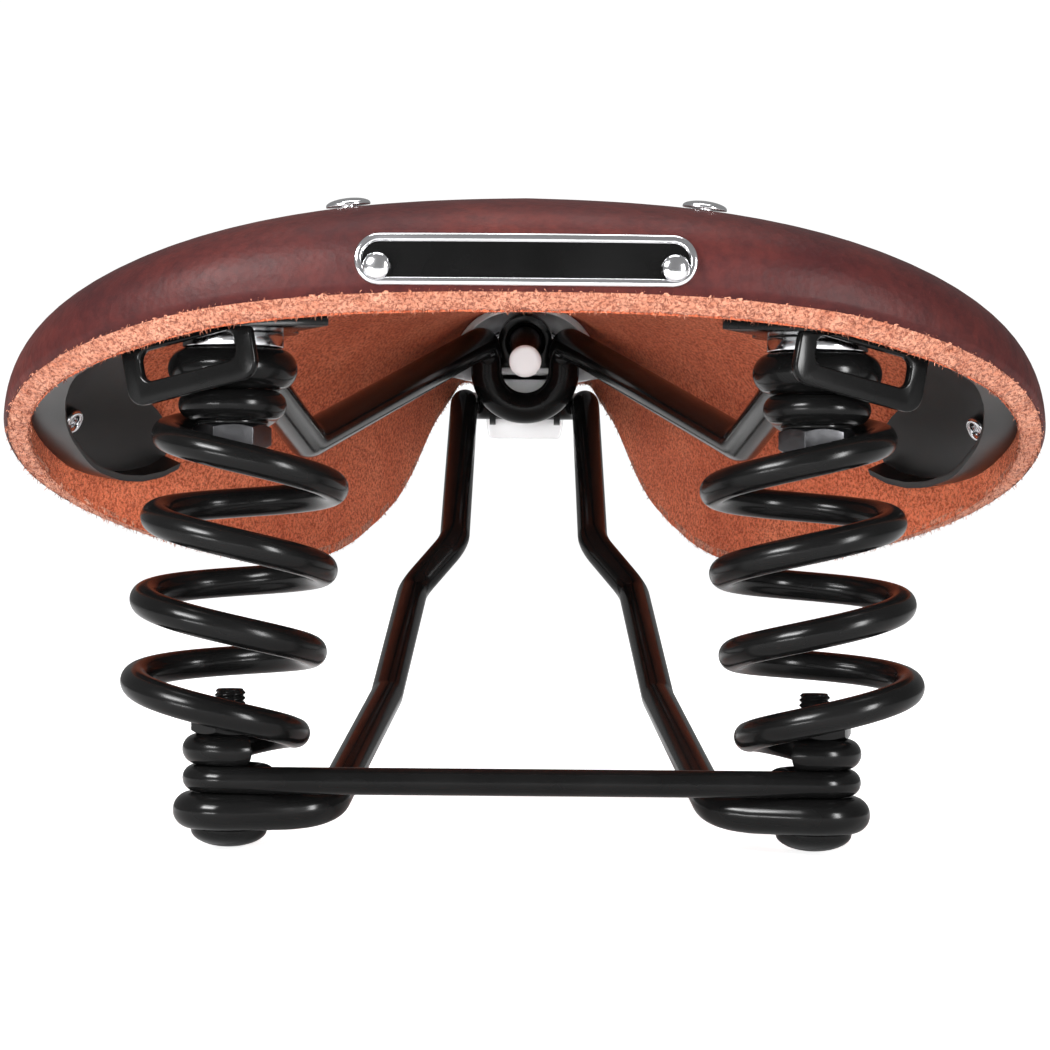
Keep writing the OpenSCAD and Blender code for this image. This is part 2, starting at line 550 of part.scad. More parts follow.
lower_bolt(-1);  // lower_bolt_left
lower_bolt(1);  // lower_bolt_right
lower_nut(-1);  // lower_nut_left
lower_nut(1);  // lower_nut_right
nose_piece();
nose_bracket();
tension_bolt();
tension_nut();
shackle();
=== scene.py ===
import json
import math
import random

import bmesh
import bpy
import numpy as np
from mathutils import Matrix, Vector, noise


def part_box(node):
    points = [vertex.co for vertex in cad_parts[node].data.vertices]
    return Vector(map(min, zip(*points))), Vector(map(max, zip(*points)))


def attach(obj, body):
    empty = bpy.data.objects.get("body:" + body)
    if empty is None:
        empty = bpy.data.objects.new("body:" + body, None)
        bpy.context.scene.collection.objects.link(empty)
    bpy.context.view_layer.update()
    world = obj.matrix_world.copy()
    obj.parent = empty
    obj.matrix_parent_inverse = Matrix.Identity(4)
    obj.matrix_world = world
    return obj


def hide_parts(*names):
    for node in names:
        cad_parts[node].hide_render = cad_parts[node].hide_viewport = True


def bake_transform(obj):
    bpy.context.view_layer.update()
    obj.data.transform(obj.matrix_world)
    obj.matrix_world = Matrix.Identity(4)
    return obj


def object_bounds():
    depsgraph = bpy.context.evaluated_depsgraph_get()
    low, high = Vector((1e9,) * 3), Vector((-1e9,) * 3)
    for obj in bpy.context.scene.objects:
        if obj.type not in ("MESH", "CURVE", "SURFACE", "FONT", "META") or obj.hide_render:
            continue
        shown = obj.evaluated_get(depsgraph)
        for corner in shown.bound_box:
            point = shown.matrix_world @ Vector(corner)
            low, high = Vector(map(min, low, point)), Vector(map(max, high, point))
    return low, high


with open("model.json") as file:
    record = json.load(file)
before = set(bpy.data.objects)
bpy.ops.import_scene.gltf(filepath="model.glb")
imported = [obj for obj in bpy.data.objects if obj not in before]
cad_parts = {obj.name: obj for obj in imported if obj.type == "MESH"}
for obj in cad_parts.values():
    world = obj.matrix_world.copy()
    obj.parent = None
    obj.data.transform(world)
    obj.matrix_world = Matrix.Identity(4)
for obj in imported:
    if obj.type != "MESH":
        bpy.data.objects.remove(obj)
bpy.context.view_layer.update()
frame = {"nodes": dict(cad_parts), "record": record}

MM = 0.001
BODY = {n: b for b, nodes in frame["record"]["behaviour"]["bodies"].items() for n in nodes}
bpy.context.scene.view_settings.view_transform = "Standard"


# ---------- the hide's surface, as in the CAD source, in millimetres ----------
HIDE_T, BEVEL, RIDGE = 5.0, 4.0, 81.0
EDGE = np.array([
    [0, -127, 68.4], [22, -126.5, 68.2], [42, -124.5, 67.2], [61.5, -119.5, 65],
    [79.5, -109.5, 60.8], [93, -96, 55.5], [101.3, -81.5, 49.2], [104.6, -67, 42.2],
    [102.8, -50, 35.2], [95.3, -35.5, 28.8], [84.5, -21.5, 23.6], [71, -5, 19.2],
    [58.5, 14, 17.2], [48.5, 32, 19.5], [40.5, 50, 26.2], [34, 67, 35.5],
    [28.6, 84, 49.5], [24.6, 98, 57.5], [21.8, 111, 62.8], [18, 123, 64],
    [10.5, 132, 63.2], [0, 135.5, 62.5]], float)
LAST = len(EDGE) - 1
FLIP = np.array([-1.0, 1, 1])
KEYS = np.vstack([EDGE[2] * FLIP, EDGE[1] * FLIP, EDGE, EDGE[-2] * FLIP, EDGE[-3] * FLIP])


def ease(a, b, x):
    t = np.clip((np.asarray(x, float) - a) / (b - a), 0, 1)
    return t * t * (3 - 2 * t)


def edge_at(u):
    u = np.asarray(u, float)
    i = np.minimum(np.floor(u), LAST - 1).astype(int)
    t = (u - i)[..., None]
    a, b, c, d = (KEYS[i + k] for k in (1, 2, 3, 4))
    p = 0.5 * (2 * b + (c - a) * t + (2 * a - 5 * b + 4 * c - d) * t * t + (3 * b - a - 3 * c + d) * t ** 3)
    p[..., 0] = np.where((u <= 0) | (u >= LAST), 0, p[..., 0])
    return p


def edge_out(u):
    u = np.asarray(u, float)
    d = edge_at(np.minimum(LAST, u + 0.05)) - edge_at(np.maximum(0, u - 0.05))
    o = np.stack([d[..., 1], -d[..., 0]], -1)
    o /= np.linalg.norm(o, axis=-1, keepdims=True)
    o = np.where((u <= 0)[..., None], [0.0, -1.0], o)
    return np.where((u >= LAST)[..., None], [0.0, 1.0], o)


def ridge_h(y):
    return RIDGE + 0.00073 * y * y


def spine_y(u):
    u = np.asarray(u, float)
    y = edge_at(u)[..., 1]
    lo = -93 + 0.9 * np.minimum(u, 8)
    m = lo + (112 - lo) * (u - 8) / (LAST - 8)
    k = ease(8, 11, u) * (1 - ease(16, LAST, u))
    return np.where(u < 8, lo, m * (1 - k) + y * k)


def squareness(u):
    return 3 - 0.8 * ease(0, 5.5, u) + 0.3 * ease(9, 13, u) + 0.4 * ease(14, LAST, u)


def skin(u, v, deep=0.0):
    u, v, deep = np.broadcast_arrays(*(np.asarray(x, float) for x in (u, v, deep)))
    e, o, n, y = edge_at(u), edge_out(u), squareness(u), spine_y(u)
    top = ridge_h(y) - deep
    bevel = BEVEL * (1 - 0.9 * ease(3.5, 8, u)) * np.clip(deep / HIDE_T, 0, 1)
    fx, fy, fz = e[..., 0] - deep * o[..., 0], e[..., 1] - deep * o[..., 1], e[..., 2] - bevel
    c = np.clip(v, 0, 1) * math.pi / 2
    h = np.sin(c) ** (2 / n)
    g = 1 - np.clip(np.cos(c), 0, 1) ** (2 / n)
    x = np.where((u <= 0) | (u >= LAST), 0, np.maximum(0, fx) * h)
    return np.stack([x, y + (fy - y) * h, top + (fz - top) * g], -1)


def skin_out(u, v):
    u = np.clip(u, 0.021, LAST - 0.1)
    a = skin(u + 0.02, v) - skin(u - 0.02, v)
    b = skin(u, np.minimum(1, v + 0.005)) - skin(u, v - 0.005)
    n = np.cross(b, a)
    return n / np.linalg.norm(n, axis=-1, keepdims=True)


def on_hide(u, v, side=1):
    """A matrix in metres whose +Z stands out of the hide."""
    p, n = skin(u, v), skin_out(u, v)
    if u >= LAST - 0.01:
        n[0] = 0
        n = n / np.linalg.norm(n)
    z = Vector((side * n[0], n[1], n[2])).normalized()
    turn = z.to_track_quat("Z", "Y").to_matrix().to_4x4()
    return Matrix.Translation(Vector((side * p[0], p[1], p[2])) * MM) @ turn


# ---------- meshes ----------
def mesh_piece(name, points, faces, mats, slots=None, body=None, replaces=(), sharp=None):
    """A smooth mesh in metres from points in millimetres."""
    me = bpy.data.meshes.new(name)
    me.from_pydata((np.asarray(points, float) * MM).tolist(), [], [list(f) for f in faces])
    for m in mats:
        me.materials.append(m)
    if slots is not None:
        me.polygons.foreach_set("material_index", np.asarray(slots, np.int32))
    me.validate()
    ob = bpy.data.objects.new(name, me)
    bpy.context.scene.collection.objects.link(ob)
    finish_piece(ob, body, replaces, sharp)
    return ob


def finish_piece(ob, body, replaces, sharp=None):
    shade(ob.data, sharp)
    if body:
        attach(ob, body)
    if replaces:
        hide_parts(*replaces)


def shade(me, sharp):
    me.polygons.foreach_set("use_smooth", [True] * len(me.polygons))
    if sharp:
        bm = bmesh.new()
        bm.from_mesh(me)
        limit = math.radians(sharp)
        for e in bm.edges:
            e.smooth = not (len(e.link_faces) == 2 and e.calc_face_angle(0) > limit)
        bm.to_mesh(me)
        bm.free()
    me.update()


def weld(ob, distance=1e-6):
    bm = bmesh.new()
    bm.from_mesh(ob.data)
    bmesh.ops.remove_doubles(bm, verts=bm.verts, dist=distance)
    bmesh.ops.recalc_face_normals(bm, faces=bm.faces)
    bm.to_mesh(ob.data)
    bm.free()


def grid(rows, cols, base=0, wrap=False, turn=False):
    faces = []
    for i in range(rows - 1):
        for j in range(cols if wrap else cols - 1):
            a, b = base + i * cols + j, base + i * cols + (j + 1) % cols
            f = (a, b, b + cols, a + cols)
            faces.append(f[::-1] if turn else f)
    return faces


def sweep(path, d, sides=28, tip=0.35):
    """Points and faces of a round wire along path, with softly rounded cut ends."""
    path = np.asarray(path, float)
    keep = [0] + [i for i in range(1, len(path)) if np.linalg.norm(path[i] - path[i - 1]) > 1e-4]
    path = path[keep]
    t = np.gradient(path, axis=0)
    t /= np.linalg.norm(t, axis=1, keepdims=True)
    ref = np.array([0.0, 0, 1]) if abs(t[0][2]) < 0.8 else np.array([1.0, 0, 0])
    o = np.cross(t[0], ref)
    outs = []
    for k in range(len(path)):
        o = o - (o @ t[k]) * t[k]
        o /= np.linalg.norm(o)
        outs.append(o)
    outs = np.array(outs)
    ups = np.cross(outs, t)
    pts, rr, oo, uu = [path[0], path[0] + t[0] * tip * 0.3], [d / 2 - tip, d / 2 - tip * 0.3], [outs[0]] * 2, [ups[0]] * 2
    pts.append(path[0] + t[0] * tip)
    rr.append(d / 2)
    oo.append(outs[0])
    uu.append(ups[0])
    for k in range(1, len(path) - 1):
        pts.append(path[k])
        rr.append(d / 2)
        oo.append(outs[k])
        uu.append(ups[k])
    for back, r in ((tip, d / 2), (tip * 0.3, d / 2 - tip * 0.3), (0, d / 2 - tip)):
        pts.append(path[-1] - t[-1] * back)
        rr.append(r)
        oo.append(outs[-1])
        uu.append(ups[-1])
    pts, rr, oo, uu = map(np.array, (pts, rr, oo, uu))
    a = np.arange(sides) * 2 * math.pi / sides
    ring = pts[:, None] + rr[:, None, None] * (np.cos(a)[None, :, None] * oo[:, None] + np.sin(a)[None, :, None] * uu[:, None])
    n = len(pts)
    points = np.vstack([ring.reshape(-1, 3), pts[:1], pts[-1:]])
    faces = grid(n, sides, wrap=True)
    first, last_ = n * sides, n * sides + 1
    faces += [(first, (k + 1) % sides, k) for k in range(sides)]
    faces += [(last_, (n - 1) * sides + k, (n - 1) * sides + (k + 1) % sides) for k in range(sides)]
    return points, faces


def join(parts):
    points, faces, base = [], [], 0
    for p, f in parts:
        points.append(p)
        faces += [tuple(i + base for i in g) for g in f]
        base += len(p)
    return np.vstack(points), faces


def mirrored(points):
    return np.asarray(points) * FLIP


def wire(pts, radii, step=3.0):
    """Points along a wire with a round bend of the given radius at each inner point."""
    pts = np.asarray(pts, float)
    out = [pts[0]]
    for i in range(1, len(pts) - 1):
        back, on = pts[i - 1] - pts[i], pts[i + 1] - pts[i]
        back, on = back / np.linalg.norm(back), on / np.linalg.norm(on)
        turn = math.acos(max(-1, min(1, -back @ on)))
        cut = radii[i] / math.tan(math.acos(back @ on) / 2)
        axis = np.cross(-back, on)
        axis /= np.linalg.norm(axis)
        inward = np.cross(axis, -back)
        centre = pts[i] + back * cut + inward * radii[i]
        n = max(3, math.ceil(math.degrees(turn) / step))
        for k in range(n + 1):
            a = turn * k / n
            out.append(centre - radii[i] * math.cos(a) * inward - radii[i] * math.sin(a) * back)
    out.append(pts[-1])
    return np.array(out)


def revolve(profile, sides=48):
    """A closed turned solid from [r, z] points, the first and last of them on the axis."""
    a = np.arange(sides) * 2 * math.pi / sides
    rows = [np.stack([r * np.cos(a), r * np.sin(a), np.full(sides, z)], 1) for r, z in profile[1:-1]]
    points = np.vstack(rows + [[[0, 0, profile[0][1]]], [[0, 0, profile[-1][1]]]])
    n = len(rows)
    faces = grid(n, sides, wrap=True)
    faces += [(n * sides, (k + 1) % sides, k) for k in range(sides)]
    faces += [(n * sides + 1, (n - 1) * sides + k, (n - 1) * sides + (k + 1) % sides) for k in range(sides)]
    return points, faces


def threaded(d, z0, z1, pitch, sides=36, depth=0.55, chamfer=0.6):
    """A threaded rod from z0 to z1 with a chamfer at z1."""
    steps = int((z1 - z0) / pitch * 8)
    z = np.linspace(z0, z1, steps + 1)
    a = np.arange(sides) * 2 * math.pi / sides
    phase = (z[:, None] / pitch - a[None, :] / (2 * math.pi)) % 1
    r = d / 2 - depth * pitch * 0.9 * (1 - np.abs(2 * phase - 1)) ** 1.2
    near = np.clip((z1 - z) / chamfer, 0, 1)[:, None]
    r = np.minimum(r, d / 2 - chamfer * (1 - near))
    pts = np.stack([r * np.cos(a)[None], r * np.sin(a)[None], np.repeat(z[:, None], sides, 1)], -1).reshape(-1, 3)
    n = len(z)
    points = np.vstack([pts, [[0, 0, z0]], [[0, 0, z1]]])
    faces = grid(n, sides, wrap=True)
    faces += [(n * sides, (k + 1) % sides, k) for k in range(sides)]
    faces += [(n * sides + 1, (n - 1) * sides + k, (n - 1) * sides + (k + 1) % sides) for k in range(sides)]
    return points, faces


def soften(ob, width=0.3, angle=35, segments=3):
    """Rounds the sharp edges of a mesh in metres by width in millimetres."""
    bm = bmesh.new()
    bm.from_mesh(ob.data)
    bmesh.ops.remove_doubles(bm, verts=bm.verts, dist=2e-6)
    bmesh.ops.dissolve_limit(bm, angle_limit=math.radians(0.6), verts=bm.verts, edges=bm.edges)
    limit = math.radians(angle)
    hard = [e for e in bm.edges if len(e.link_faces) == 2 and e.calc_face_angle(0) > limit]
    bmesh.ops.bevel(bm, geom=hard, offset=width * MM, segments=segments, profile=0.5, affect="EDGES", clamp_overlap=True)
    bm.to_mesh(ob.data)
    bm.free()
    shade(ob.data, 50)


def refined(node, mat, width=0.3, angle=35):
    """A CAD node's own shape with rounded edges and smooth faces."""
    src = frame["nodes"][node]
    ob = bpy.data.objects.new(node + "_fine", src.data.copy())
    bpy.context.scene.collection.objects.link(ob)
    ob.data.materials.clear()
    ob.data.materials.append(mat)
    soften(ob, width, angle)
    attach(ob, BODY[node])
    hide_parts(node)
    return ob


# ---------- materials ----------
class Mat:
    def __init__(self, name):
        self.m = bpy.data.materials.new(name)
        self.m.use_nodes = True
        self.t = self.m.node_tree
        self.n = self.t.nodes
        self.b = self.n["Principled BSDF"]
        self.co = self.n.new("ShaderNodeTexCoord").outputs["Object"]

    def set(self, **kw):
        for k, v in kw.items():
            self.b.inputs[k.replace("_", " ")].default_value = v
        return self

    def link(self, a, b):
        self.t.links.new(a, b)

    def noise(self, scale, detail=4, rough=0.55, stretch=None, distortion=0.0):
        n = self.n.new("ShaderNodeTexNoise")
        n.inputs["Scale"].default_value = scale
        n.inputs["Detail"].default_value = detail
        n.inputs["Roughness"].default_value = rough
        n.inputs["Distortion"].default_value = distortion
        self.link(self.mapped(stretch), n.inputs["Vector"])
        return n.outputs["Fac"]

    def mapped(self, stretch):
        if not stretch:
            return self.co
        m = self.n.new("ShaderNodeMapping")
        m.inputs["Scale"].default_value = stretch
        self.link(self.co, m.inputs["Vector"])
        return m.outputs["Vector"]

    def cells(self, scale, feature="F1", stretch=None):
        n = self.n.new("ShaderNodeTexVoronoi")
        n.feature = feature
        n.inputs["Scale"].default_value = scale
        self.link(self.mapped(stretch), n.inputs["Vector"])
        return n.outputs["Distance"]

    def ramp(self, value, *stops):
        r = self.n.new("ShaderNodeValToRGB")
        e = r.color_ramp.elements
        while len(e) < len(stops):
            e.new(0.5)
        for el, (pos, col) in zip(e, stops):
            el.position = pos
            el.color = (*col, 1) if isinstance(col, tuple) else (col, col, col, 1)
        self.link(value, r.inputs["Fac"])
        return r.outputs["Color"]

    def mix(self, fac, a, b, kind="MIX"):
        m = self.n.new("ShaderNodeMix")
        m.data_type = "RGBA"
        m.blend_type = kind
        for value, port in ((fac, m.inputs[0]), (a, m.inputs[6]), (b, m.inputs[7])):
            if hasattr(value, "links"):
                self.link(value, port)
            elif isinstance(value, tuple):
                port.default_value = (*value, 1)
            else:
                port.default_value = value
        return m.outputs[2]

    def math(self, op, a, b):
        m = self.n.new("ShaderNodeMath")
        m.operation = op
        for value, port in ((a, m.inputs[0]), (b, m.inputs[1])):
            if hasattr(value, "links"):
                self.link(value, port)
            else:
                port.default_value = value
        return m.outputs[0]

    def colour(self, value):
        self.link(value, self.b.inputs["Base Color"])
        return self

    def rough(self, value):
        self.link(value, self.b.inputs["Roughness"])
        return self

    def bump(self, *layers):
        """Layers of (height, depth in millimetres)."""
        last = None
        for height, depth in layers:
            b = self.n.new("ShaderNodeBump")
            b.inputs["Strength"].default_value = 1
            b.inputs["Distance"].default_value = depth * MM
            self.link(height, b.inputs["Height"])
            if last is not None:
                self.link(last, b.inputs["Normal"])
            last = b.outputs["Normal"]
        self.link(last, self.b.inputs["Normal"])
        return self


def leather_outer():
    m = Mat("leather_outer")
    cloud = m.noise(26, 5, 0.6)
    fine = m.noise(420, 4, 0.65)
    base = m.ramp(cloud, (0.3, (0.038, 0.0075, 0.0080)), (0.52, (0.064, 0.0120, 0.0105)), (0.72, (0.104, 0.0200, 0.0150)))
    base = m.mix(m.ramp(fine, (0.38, 0.0), (0.7, 0.55)), base, (0.018, 0.0045, 0.0055))
    m.colour(base)
    m.rough(m.ramp(m.noise(90, 4, 0.6), (0.3, 0.44), (0.7, 0.54)))
    m.set(Specular_IOR_Level=0.14)
    m.bump((m.noise(1100, 3, 0.6), 0.06), (m.cells(700), 0.05), (m.noise(30, 2, 0.4), 0.08))
    return m.m


def leather_flesh():
    m = Mat("leather_flesh")
    cloud = m.noise(30, 5, 0.65)
    nap = m.noise(1500, 5, 0.8)
    base = m.ramp(cloud, (0.3, (0.62, 0.140, 0.062)), (0.5, (0.76, 0.195, 0.090)), (0.72, (0.86, 0.275, 0.140)))
    base = m.mix(m.ramp(nap, (0.42, 0.95), (0.54, 0.0)), base, (0.27, 0.045, 0.020))
    base = m.mix(m.ramp(m.noise(1900, 4, 0.8), (0.56, 0.0), (0.68, 0.6)), base, (0.80, 0.34, 0.21))
    m.colour(base)
    m.set(Roughness=0.95, Specular_IOR_Level=0.1, Sheen_Weight=0.05, Sheen_Roughness=0.5)
    m.bump((m.noise(1700, 4, 0.8), 0.5), (m.noise(480, 4, 0.7), 0.5))
    return m.m


def leather_cut():
    m = Mat("leather_cut")
    specks = m.noise(1500, 3, 0.75)
    base = m.ramp(m.noise(260, 4, 0.7), (0.3, (0.46, 0.160, 0.092)), (0.7, (0.68, 0.325, 0.215)))
    base = m.mix(m.ramp(specks, (0.42, 0.85), (0.53, 0.0)), base, (0.19, 0.052, 0.032))
    m.colour(base)
    m.set(Roughness=0.95, Specular_IOR_Level=0.1, Sheen_Weight=0.1)
    m.bump((m.noise(1300, 3, 0.7), 0.3), (m.noise(450, 3, 0.7), 0.35))
    return m.m


def leather_fuzz():
    m = Mat("leather_fuzz")
    m.colour(m.ramp(m.noise(400, 3, 0.7), (0.35, (0.10, 0.028, 0.018)), (0.65, (0.26, 0.085, 0.050))))
    m.set(Roughness=0.95, Specular_IOR_Level=0.1)
    m.bump((m.noise(1500, 2, 0.6), 0.1))
    return m.m


def enamel(name="black_enamel", rough=(0.15, 0.20), shine=0.15):
    m = Mat(name)
    m.colour(m.ramp(m.noise(60, 3, 0.5), (0.3, 0.003), (0.7, 0.0055)))
    m.rough(m.ramp(m.noise(70, 2, 0.5), (0.3, rough[0]), (0.7, rough[1])))
    m.set(Specular_IOR_Level=shine)
    m.bump((m.noise(60, 1, 0.4), 0.006))
    return m.m


def plated(name):
    """Smooth bright nickel."""
    m = Mat(name)
    m.colour(m.mix(m.noise(80, 2, 0.5), (0.93, 0.93, 0.94), (0.87, 0.87, 0.885)))
    m.rough(m.ramp(m.noise(110, 2, 0.5), (0.3, 0.20), (0.7, 0.26)))
    m.set(Metallic=0.15)
    return m.m


def chrome(name="chrome", tint=(0.80, 0.80, 0.82)):
    m = Mat(name)
    m.colour(m.mix(m.noise(120, 3, 0.5), tint, tuple(0.92 * c for c in tint)))
    m.rough(m.ramp(m.noise(120, 2, 0.5), (0.35, 0.12), (0.75, 0.17)))
    m.set(Metallic=1.0)
    m.bump((m.noise(60, 1, 0.5), 0.004))
    return m.m


def brushed(name, tint, rough):
    m = Mat(name)
    m.colour(m.mix(m.noise(300, 3, 0.6), tint, tuple(0.8 * c for c in tint)))
    m.rough(m.ramp(m.noise(700, 3, 0.6), (0.3, rough[0]), (0.7, rough[1])))
    m.set(Metallic=1.0)
    m.bump((m.noise(1500, 2, 0.6), 0.01))
    return m.m


OUTER, FLESH, CUT, FUZZ = leather_outer(), leather_flesh(), leather_cut(), leather_fuzz()
ENAMEL, SPRING, CHROME = enamel(), enamel("spring_enamel", (0.17, 0.24)), chrome()
STEEL = brushed("bright_steel", (0.72, 0.72, 0.73), (0.18, 0.32))
BLACKED = brushed("blacked_steel", (0.10, 0.10, 0.105), (0.30, 0.45))
SATIN = plated("bright_nickel")
FIELD = enamel("badge_field", (0.10, 0.18))
PRESSED = enamel("pressed_enamel", (0.32, 0.40), 0.55)


# ---------- hide ----------
def hide_columns(n):
    t = np.linspace(0, 1, n)
    return (1 - np.cos(math.pi * t)) / 2


def rounding(v):
    return 0.8 * (1 - np.sqrt(np.clip(1 - (np.clip(v - 0.985, 0, 1) / 0.015) ** 2, 0, 1)))


def roughen(points, amount, scale, seed=0.0):
    """Moves points by noise of about that amount and size, in millimetres."""
    shift = Vector((seed, seed * 0.7, seed * 1.3))
    moved = [noise.noise_vector(Vector(p) / scale + shift) for p in points]
    return np.asarray(points) + amount * np.asarray(moved)


def hide():
    us = np.linspace(0, LAST, 253)
    outer_v = np.concatenate([hide_columns(40) * 0.985, 0.985 + 0.015 * np.array([0.35, 0.6, 0.8, 0.93, 1.0])])
    inner_v = hide_columns(40)
    U, V = np.meshgrid(us, outer_v, indexing="ij")
    outer = skin(U, V, rounding(V)).reshape(-1, 3)
    U2, V2 = np.meshgrid(us, inner_v, indexing="ij")
    inner = skin(U2, V2, HIDE_T).reshape(-1, 3)
    inner = inner + 0.12 * np.asarray([noise.noise_vector(Vector(p) / 6) for p in inner])
    parts, mats, base = [], [], 0
    faces = []
    points = []
    for mirror in (False, True):
        for pts, cols, mat, turn in ((outer, len(outer_v), 0, True), (inner, len(inner_v), 1, False)):
            points.append(mirrored(pts) if mirror else pts)
            f = grid(len(us), cols, base, turn=turn != mirror)
            faces += f
            mats += [mat] * len(f)
            base += len(pts)
    ob = mesh_piece("hide", np.vstack(points), faces, [OUTER, FLESH], mats)
    bm = bmesh.new()
    bm.from_mesh(ob.data)
    bmesh.ops.remove_doubles(bm, verts=bm.verts, dist=2e-6)
    bm.to_mesh(ob.data)
    bm.free()
    shade(ob.data, None)
    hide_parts("leather_top")
    return ob


def hide_cut():
    """The cut edge of the hide, rough and with loose fibres."""
    n = 1100
    fine = np.linspace(0, LAST, 4001)
    line = edge_at(fine)
    run = np.concatenate([[0], np.cumsum(np.linalg.norm(np.diff(line, axis=0), axis=1))])
    us = np.interp(np.linspace(0, run[-1], n), run, fine)
    deeps = np.array([0.55, 0.8, 1.1, 1.6, 2.1, 2.6, 3.1, 3.6, 4.1, 4.5, 4.8, 5.0, 5.0])
    vs = np.array([0.9985] + [1.0] * 11 + [0.992])
    U = np.repeat(us[:, None], len(deeps), 1)
    pts = skin(U, np.repeat(vs[None], n, 0), np.repeat(deeps[None], n, 0))
    # a soft round over both corners of the band
    lift = np.interp(deeps, [0.5, 1.2, 4.4, 5.0], [0.25, 0.0, 0.0, 0.35])
    pts[..., 2] += lift[None]
    flat = pts.reshape(-1, 3)
    rough = roughen(flat, 0.30, 1.1) - flat + roughen(flat, 0.32, 0.45, 7) - flat
    hold = np.ones(len(deeps))
    hold[[0, -1]] = 0.15
    rough = rough.reshape(n, len(deeps), 3) * hold[None, :, None]
    rough[0, :, 0] = rough[-1, :, 0] = 0
    flat = (pts + rough).reshape(-1, 3)
    faces = grid(n, len(deeps), 0, turn=True)
    sides = [(flat, faces), (mirrored(flat), [f[::-1] for f in faces])]
    points, faces = join(sides)
    # fibres, standing out the way the hide would run on
    on = skin(us, 1.0, 2.5) - skin(us, 0.99, 2.5)
    on /= np.linalg.norm(on, axis=-1, keepdims=True)
    rng = random.Random(11)
    tips, hairs = [], []
    base = len(points)
    for _ in range(9000):
        i, j = rng.randrange(n - 1), rng.choice((0, 1, 2, 3, 4, 6, 8, 9, 10, 11, 11, 12, 12))
        turned = FLIP if rng.random() < 0.5 else 1
        p = flat[i * len(deeps) + j] * turned
        out = on[i] * turned + [rng.gauss(0, 0.45), rng.gauss(0, 0.45), rng.gauss(0, 0.45)]
        out *= rng.uniform(0.4, 1.15) / np.linalg.norm(out)
        side = np.cross(out, [rng.gauss(0, 1), rng.gauss(0, 1), rng.gauss(0, 1)])
        side *= rng.uniform(0.04, 0.11) / np.linalg.norm(side)
        bend = np.array([rng.gauss(0, 0.12), rng.gauss(0, 0.12), rng.gauss(0, 0.08)])
        k = base + len(tips)
        tips += [p - side, p + side, p + out * 0.6 + bend * 0.5 + side * 0.7, p + out * 0.6 + bend * 0.5 - side * 0.7, p + out + bend]
        hairs += [(k, k + 1, k + 2, k + 3), (k + 3, k + 2, k + 4)]
    dark = [int(rng.random() < 0.45) for _ in range(len(hairs) // 2)]
    slots = [0] * len(faces) + [d for d in dark for _ in range(2)]
    ob = mesh_piece("hide_cut_edge", np.vstack([points, tips]), faces + hairs, [CUT, FUZZ], slots)
    return ob


for piece in (hide(), hide_cut()):
    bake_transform(piece)


# ---------- plates bent to the hide ----------
def plate(name, node, rows, cols, d0, d1, mat, lip_v=0.018, width=0.45):
    """rows of [u, v top, v foot, lip]: a plate between two depths with a lip turned in at its foot."""
    loops = []
    for u, v0, v1, lip in rows:
        vo = v0 + (v1 - v0) * np.linspace(0, 1, cols)
        vi = v0 + (v1 - lip_v - v0) * np.linspace(1, 0, cols)
        outer = skin(np.full(cols, u), vo, d0)
        inner = skin(np.full(cols, u), vi, d1)
        if lip is None:
            inner = skin(np.full(cols, u), vo[::-1], d1)
            loops.append(np.vstack([outer, inner]))
        else:
            rim = skin(np.array([u, u]), np.array([v1, v1 - lip_v]), d1 + max(lip, 0.02))
            loops.append(np.vstack([outer, rim, inner]))
    k = len(loops[0])
    pts = np.vstack(loops)
    faces = grid(len(loops), k, 0, wrap=True, turn=True)
    ends = []
    if rows[0][0] > 0:
        ends.append(tuple(range(k)))
    if rows[-1][0] < LAST:
        ends.append(tuple((len(loops) - 1) * k + i for i in reversed(range(k))))
    faces = faces + ends
    points, faces = join([(pts, faces), (mirrored(pts), [f[::-1] for f in faces])])
    ob = mesh_piece(name, points, faces, [mat], None, BODY[node], (node,))
    bm = bmesh.new()
    bm.from_mesh(ob.data)
    bmesh.ops.remove_doubles(bm, verts=bm.verts, dist=2e-6)
    # the walls that both sides share in the middle plane go
    middle = [f for f in bm.faces if all(abs(v.co.x) < 1e-7 for v in f.verts)]
    bmesh.ops.delete(bm, geom=middle, context="FACES")
    bmesh.ops.triangulate(bm, faces=[f for f in bm.faces if len(f.verts) > 4])
    bmesh.ops.recalc_face_normals(bm, faces=bm.faces)
    hard = [e for e in bm.edges if len(e.link_faces) == 2 and e.calc_face_angle(0) > math.radians(38)]
    bmesh.ops.bevel(bm, geom=hard, offset=width * MM, segments=3, profile=0.5, affect="EDGES", clamp_overlap=True)
    bm.to_mesh(ob.data)
    bm.free()
    shade(ob.data, 50)
    return ob


CANTLE = np.array([
    [0, 0.15, 0.985, 0], [0.75, 0.15, 0.985, 0], [1.5, 0.15, 0.985, 0], [2.25, 0.15, 0.985, 0],
    [3, 0.16, 0.985, 0], [4, 0.26, 0.985, 0], [5, 0.38, 0.975, 1], [5.7, 0.46, 0.965, 3.2], [6.4, 0.53, 0.96, 4.6],
    [7.1, 0.59, 0.955, 5], [7.8, 0.64, 0.95, 5], [8.5, 0.67, 0.945, 5], [9, 0.695, 0.93, 5],
    [9.4, 0.715, 0.905, 5], [9.7, 0.74, 0.875, 5], [9.9, 0.77, 0.84, 5]])
rows = []
for u in np.concatenate([np.linspace(0, 5, 21), np.linspace(5.15, 9.4, 31), np.linspace(9.45, 9.9, 8)]):
    rows.append([u] + [float(np.interp(u, CANTLE[:, 0], CANTLE[:, k])) for k in (1, 2, 3)])
plate("cantle", "cantle_plate", rows, 18, 5.3, 7.3, PRESSED)


